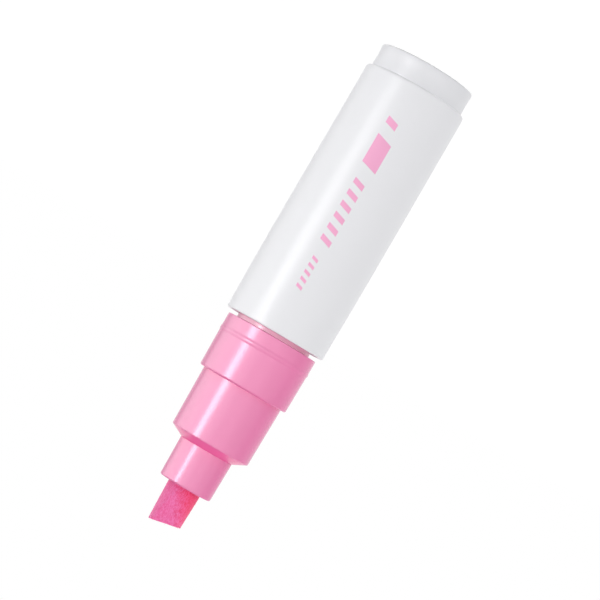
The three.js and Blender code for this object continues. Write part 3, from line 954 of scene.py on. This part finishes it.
class MARKER_OT_valve(bpy.types.Operator):
    """Mould the valve: its housing, its seat, its stem and the retainer that carries the spring"""

    bl_idname = "marker.valve"
    bl_label = "Valve"

    def execute(self, context):
        finishes = context.scene.marker_finishes
        natural = natural_plastic(finishes)
        rubber = seal_rubber(finishes)
        for mould, node, material, slot, body in (
            (self.housing, "valve_housing", natural, "natural_plastic", "shell"),
            (self.seat, "valve_seat", rubber, "seal_rubber", "shell"),
            (self.stem, "valve_stem", natural, "natural_plastic", "valve_slider"),
            (self.retainer, "spring_retainer", natural, "natural_plastic", "shell"),
        ):
            piece = mould(f"marker_{node}", height_of(node, 0), height_of(node, 1))
            smooth_walls(piece)
            dress(piece, material, slot, body, node)
        return {"FINISHED"}

    def housing(self, name, low, high):
        """A cup with a flange at its mouth, a web with the hole for the stem, and guide ribs inside."""
        flange, hole, bore = radius_of("valve_housing"), 3.4 * MM, radius_of("valve_seat") + FIT
        outer = flange - 0.75 * MM
        flange_top = low + 1.8 * MM
        web = high - 1.4 * MM
        piece = turn(
            name,
            [
                (bore, low, 0.15 * MM),
                (flange, low, 0.3 * MM),
                (flange, flange_top, 0.15 * MM),
                (outer, flange_top),
                (outer, high, 0.3 * MM),
                (hole, high, 0.2 * MM),
                (hole, web, 0.15 * MM),
                (bore, web),
            ],
            SMALL_TURN_STEPS,
        )
        ribs = bars(
            4,
            width=0.9 * MM,
            start=4.8 * MM,
            end=bore + 0.6 * MM,
            low=height_of("spring_retainer", 1) + FIT,
            high=height_of("valve_seat", 0) - FIT,
        )
        combine(piece, ribs, "UNION")
        return piece

    def seat(self, name, low, high):
        """A soft ring, chamfered where the stem's cone shuts against it."""
        edge, hole, chamfer = radius_of("valve_seat"), 2.7 * MM, 0.8 * MM
        corners = [
            (hole + chamfer, low, 0.1 * MM),
            (edge, low, 0.2 * MM),
            (edge, high, 0.2 * MM),
            (hole, high, 0.2 * MM),
            (hole, low + chamfer, 0.1 * MM),
        ]
        return turn(name, corners, SMALL_TURN_STEPS)

    def stem(self, name, low, high):
        """A cup for the nib's tail on a rod, with the sealing cone and the pin that guides it."""
        head, spigot = 4.5 * MM, 2.3 * MM
        cone_tip = height_of("valve_seat", 0) + 3.076 * MM
        head_high = cone_tip - head
        head_low = head_high - 1.6 * MM
        floor = high - 4.6 * MM
        cup_low = floor - 1.4 * MM
        nib_radius = bpy.context.scene.marker_sizes.nib_diameter / 2
        cup, inside = radius_of("valve_stem"), nib_radius + FIT
        piece = turn(
            name,
            [
                (0, low),
                (ROD_RADIUS, low, 0.5 * MM),
                (ROD_RADIUS, head_low - 1 * MM),
                (spigot, head_low - 1 * MM, 0.15 * MM),
                (spigot, head_low),
                (head, head_low, 0.25 * MM),
                (head, head_high, 0.2 * MM),
                (ROD_RADIUS, cone_tip - ROD_RADIUS),
                (ROD_RADIUS, cup_low),
                (cup, cup_low, 0.3 * MM),
                (cup, high, 0.15 * MM),
                (inside, high, 0.15 * MM),
                (inside, floor),
                (0, floor),
            ],
            SMALL_TURN_STEPS,
        )
        slots = bars(
            4,
            width=1.6 * MM,
            start=2.8 * MM,
            end=cup + CUT_MARGIN,
            low=cup_low - FIT,
            high=high + CUT_MARGIN,
        )
        combine(piece, slots, "DIFFERENCE")
        return piece

    def retainer(self, name, low, high):
        """A disc with a hole for the pin, and windows between four spokes that let the paint through."""
        edge, guide = radius_of("valve_seat"), ROD_RADIUS + FIT
        corners = [(guide, low), (edge, low, 0.2 * MM), (edge, high, 0.2 * MM), (guide, high, 0.15 * MM)]
        piece = turn(name, corners, SMALL_TURN_STEPS)
        hub, rim = guide + 1.9 * MM, edge - 0.8 * MM
        below, above = low - CUT_MARGIN, high + CUT_MARGIN
        corners = [(hub, below), (rim, below), (rim, above), (hub, above)]
        window = turn("window", corners, SMALL_TURN_STEPS)
        spokes = bars(
            4,
            width=1.7 * MM,
            start=hub - 1 * MM,
            end=rim + 1 * MM,
            low=below - CUT_MARGIN,
            high=above + CUT_MARGIN,
        )
        combine(window, spokes, "DIFFERENCE")
        combine(piece, [window], "DIFFERENCE")
        return piece


class MARKER_OT_spring(bpy.types.Operator):
    """Wind the valve's spring"""

    bl_idname = "marker.spring"
    bl_label = "Valve Spring"

    def execute(self, context):
        low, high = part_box("valve_spring")
        height = high.z - low.z
        pitch = (height - 2 * WIRE_RADIUS) / COILS
        start = Vector((high.x - WIRE_RADIUS, 0, low.z + WIRE_RADIUS))
        deselect_all()
        bpy.ops.mesh.primitive_circle_add(vertices=12, radius=WIRE_RADIUS, rotation=(math.pi / 2, 0, 0))
        piece = bpy.context.object
        piece.name = "marker_valve_spring"
        piece.data.name = "marker_valve_spring"
        bpy.ops.object.transform_apply(location=False, rotation=True, scale=False)
        piece.data.transform(Matrix.Translation(start))
        apply_modifier(
            piece,
            "SCREW",
            steps=32,
            render_steps=32,
            screw_offset=pitch,
            iterations=COILS,
            use_normal_calculate=True,
        )
        edit(piece)
        for lift in (0, pitch * COILS):
            end = start + Vector((0, 0, lift))
            pick_points(piece, lambda co: abs(co.y) < SAME_PLACE and (co - end).length < 1.1 * WIRE_RADIUS)
            bpy.ops.mesh.edge_face_add()
        bpy.ops.mesh.select_all(action="SELECT")
        bpy.ops.mesh.normals_make_consistent(inside=False)
        leave_edit()
        smooth(piece, math.radians(50))
        tone = context.scene.marker_finishes.steel
        material = steel("Spring steel", tone, roughness=0.28, marks=0.2)
        dress(piece, material, "spring_steel", "shell", "valve_spring")
        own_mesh(piece)
        return {"FINISHED"}


class MARKER_OT_mixing_balls(bpy.types.Operator):
    """Make the two steel balls that stir the paint"""

    bl_idname = "marker.mixing_balls"
    bl_label = "Mixing Balls"

    def execute(self, context):
        tone = context.scene.marker_finishes.steel
        material = steel("Ball steel", tone, roughness=0.12, marks=0.05)
        for number in (1, 2):
            node = f"mixing_ball_{number}"
            low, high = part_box(node)
            deselect_all()
            bpy.ops.mesh.primitive_cube_add(size=1)
            ball = bpy.context.object
            ball.name = f"marker_ball_{number}"
            bpy.ops.object.mode_set(mode="EDIT")
            bpy.ops.mesh.select_all(action="SELECT")
            bpy.ops.mesh.subdivide(number_cuts=15)
            bpy.ops.transform.tosphere(value=1)
            leave_edit()
            size = (high.z - low.z) / (2 * max(point.co.length for point in ball.data.vertices))
            ball.data.transform(Matrix.Translation((low + high) / 2) @ Matrix.Scale(size, 4))
            smooth(ball, math.radians(60))
            dress(ball, material, "ball_steel", f"loose_ball_{number}", node)
        return {"FINISHED"}


# Studio


class MARKER_OT_stage(bpy.types.Operator):
    """Set the floor, the background, the lights and the camera"""

    bl_idname = "marker.stage"
    bl_label = "Studio"

    def execute(self, context):
        studio = context.scene.marker_studio
        context.scene.view_settings.view_transform = "Standard"
        self.set_world(context.scene, studio)
        self.lay_floor()
        self.hang_lights()
        self.place_camera(context.scene, studio)
        return {"FINISHED"}

    def set_world(self, scene, studio):
        """White to the camera and in reflections. It lights from low down, all round, and from above."""
        world = bpy.data.worlds.new("Studio")
        scene.world = world
        world.use_nodes = True
        tree = world.node_tree
        rays = put(tree, "ShaderNodeLightPath").outputs
        mirrored = calc(tree, "MAXIMUM", rays["Is Glossy Ray"], rays["Is Transmission Ray"])
        seen = calc(tree, "MAXIMUM", rays["Is Camera Ray"], mirrored)
        toward = put(tree, "ShaderNodeTexCoord").outputs["Generated"]
        up = put(tree, "ShaderNodeSeparateXYZ", Vector=toward).outputs["Z"]
        from_level = calc(tree, "POWER", calc(tree, "DIVIDE", up, HORIZON_SPREAD), 2.0)
        low = calc(tree, "DIVIDE", studio.horizon, calc(tree, "EXPONENT", from_level))
        from_above = calc(tree, "POWER", calc(tree, "MAXIMUM", up, 0.0), 2.0)
        high = calc(tree, "MULTIPLY", from_above, studio.overhead)
        lit = calc(tree, "ADD", calc(tree, "ADD", low, high), studio.ambient)
        unseen = calc(tree, "SUBTRACT", 1.0, seen)
        strength = calc(tree, "ADD", seen, calc(tree, "MULTIPLY", lit, unseen))
        background = tree.nodes["Background"]
        background.inputs["Color"].default_value = WHITE
        tree.links.new(strength, background.inputs["Strength"])

    def lay_floor(self):
        """A white floor that keeps the marker's shadow, and is clear from below."""
        deselect_all()
        bpy.ops.mesh.primitive_circle_add(vertices=96, radius=FLOOR_RADIUS, fill_type="NGON")
        floor = bpy.context.object
        floor.name = "floor"
        material, tree, shader = new_material("Floor", Roughness=0.9, Specular_IOR_Level=0.1)
        place = put(tree, "ShaderNodeTexCoord").outputs["Object"]
        cloud = put(tree, "ShaderNodeTexNoise", Vector=place, Scale=3.0, Detail=2.0)
        tone = blend(tree, cloud.outputs["Fac"], (0.93, 0.93, 0.93, 1), (0.96, 0.96, 0.96, 1))
        feed(tree, shader.inputs["Base Color"], tone)
        glow = put(tree, "ShaderNodeEmission", Color=WHITE, Strength=FLOOR_GLOW)
        rays = put(tree, "ShaderNodeLightPath").outputs
        seen = calc(tree, "MULTIPLY", rays["Is Camera Ray"], FLOOR_GLOW_SHARE)
        lit = put(tree, "ShaderNodeMixShader", Fac=seen)
        tree.links.new(shader.outputs[0], lit.inputs[1])
        tree.links.new(glow.outputs[0], lit.inputs[2])
        below = put(tree, "ShaderNodeNewGeometry").outputs["Backfacing"]
        both = put(tree, "ShaderNodeMixShader", Fac=below)
        tree.links.new(lit.outputs[0], both.inputs[1])
        tree.links.new(put(tree, "ShaderNodeBsdfTransparent").outputs[0], both.inputs[2])
        tree.links.new(both.outputs[0], tree.nodes["Material Output"].inputs["Surface"])
        floor.data.materials.append(material)
        floor.visible_glossy = False

    def hang_lights(self):
        """A softbox lights the surfaces from one side. The panels show only in the gloss."""
        self.hang("Softbox", -60, reach=32, distance=0.8, brightness=1.3, lift=0.3, gloss=False)
        for name, turned, brightness in (
            ("Far panel", -45, 1.7),
            ("Front panel", 0, 3.3),
            ("Near panel", 45, 5.0),
            ("Side panel", 90, 5.4),
        ):
            self.hang(name, turned, PANEL_REACH, PANEL_DISTANCE, brightness)
        self.hang("Strip panel", 45, reach=14, distance=STRIP_DISTANCE, brightness=17.5)

    def hang(self, name, turned, reach, distance, brightness, lift=0.0, gloss=True):
        """A soft-edged light, turned from the camera towards the longer nib corner.

        It fades out at its reach, which is an angle in degrees, as is its turn.
        """
        angle, fade = math.radians(turned), math.radians(reach)
        place = LAMP_AIM + Vector((distance * math.sin(angle), -distance * math.cos(angle), lift))
        facing = (LAMP_AIM - place).to_track_quat("-Z", "Y").to_euler()
        deselect_all()
        bpy.ops.object.light_add(type="AREA", location=place, rotation=facing)
        light = bpy.context.object
        light.name = name
        light.data.shape = "RECTANGLE"
        light.data.size = 2 * distance * math.tan(fade)
        light.data.size_y = PANEL_HEIGHT
        light.data.spread = 2 * fade
        area = light.data.size * light.data.size_y
        light.data.energy = brightness * area * math.pi * (1 - fade / math.tan(fade))
        light.visible_camera = False
        light.visible_diffuse = not gloss
        light.visible_glossy = gloss

    def place_camera(self, scene, studio):
        eye = Vector((-studio.aim_side, -studio.distance, studio.eye_height))
        aim = Vector((-studio.aim_side, 0, studio.aim_height))
        deselect_all()
        bpy.ops.object.camera_add(location=eye)
        camera = bpy.context.object
        camera.rotation_mode = "QUATERNION"
        camera.rotation_quaternion = (aim - eye).to_track_quat("-Z", "Y") @ Quaternion((0, 0, 1), studio.roll)
        camera.data.lens = studio.lens
        camera.data.sensor_width = 36
        camera.data.clip_start = 0.01
        camera.data.clip_end = 20
        scene.camera = camera


PIECES = (
    MARKER_OT_barrel,
    MARKER_OT_print,
    MARKER_OT_front_section,
    MARKER_OT_nib_holder,
    MARKER_OT_nib,
    MARKER_OT_valve,
    MARKER_OT_spring,
    MARKER_OT_mixing_balls,
    MARKER_OT_stage,
)


class MARKER_PT_panel(bpy.types.Panel):
    """The marker's sizes, finishes and pieces"""

    bl_idname = "MARKER_PT_panel"
    bl_label = "Paint Marker"
    bl_space_type = "VIEW_3D"
    bl_region_type = "UI"
    bl_category = "Marker"

    def draw(self, context):
        for group in (context.scene.marker_sizes, context.scene.marker_finishes, context.scene.marker_studio):
            box = self.layout.box()
            for name in group.__annotations__:
                box.prop(group, name)
        for piece in PIECES:
            self.layout.operator(piece.bl_idname)


GROUPS = {"marker_sizes": MarkerSizes, "marker_finishes": MarkerFinishes, "marker_studio": MarkerStudio}


def register():
    for group in GROUPS.values():
        bpy.utils.register_class(group)
    for kind in (*PIECES, MARKER_PT_panel):
        bpy.utils.register_class(kind)
    for name, group in GROUPS.items():
        setattr(bpy.types.Scene, name, PointerProperty(type=group))


def unregister():
    for name in GROUPS:
        delattr(bpy.types.Scene, name)
    for kind in (MARKER_PT_panel, *reversed(PIECES), *GROUPS.values()):
        bpy.utils.unregister_class(kind)


def main():
    register()
    bpy.ops.marker.barrel()
    bpy.ops.marker.print()
    bpy.ops.marker.front_section()
    bpy.ops.marker.nib_holder()
    bpy.ops.marker.nib()
    bpy.ops.marker.valve()
    bpy.ops.marker.spring()
    bpy.ops.marker.mixing_balls()
    bpy.ops.marker.stage()


if __name__ == "__main__":
    main()
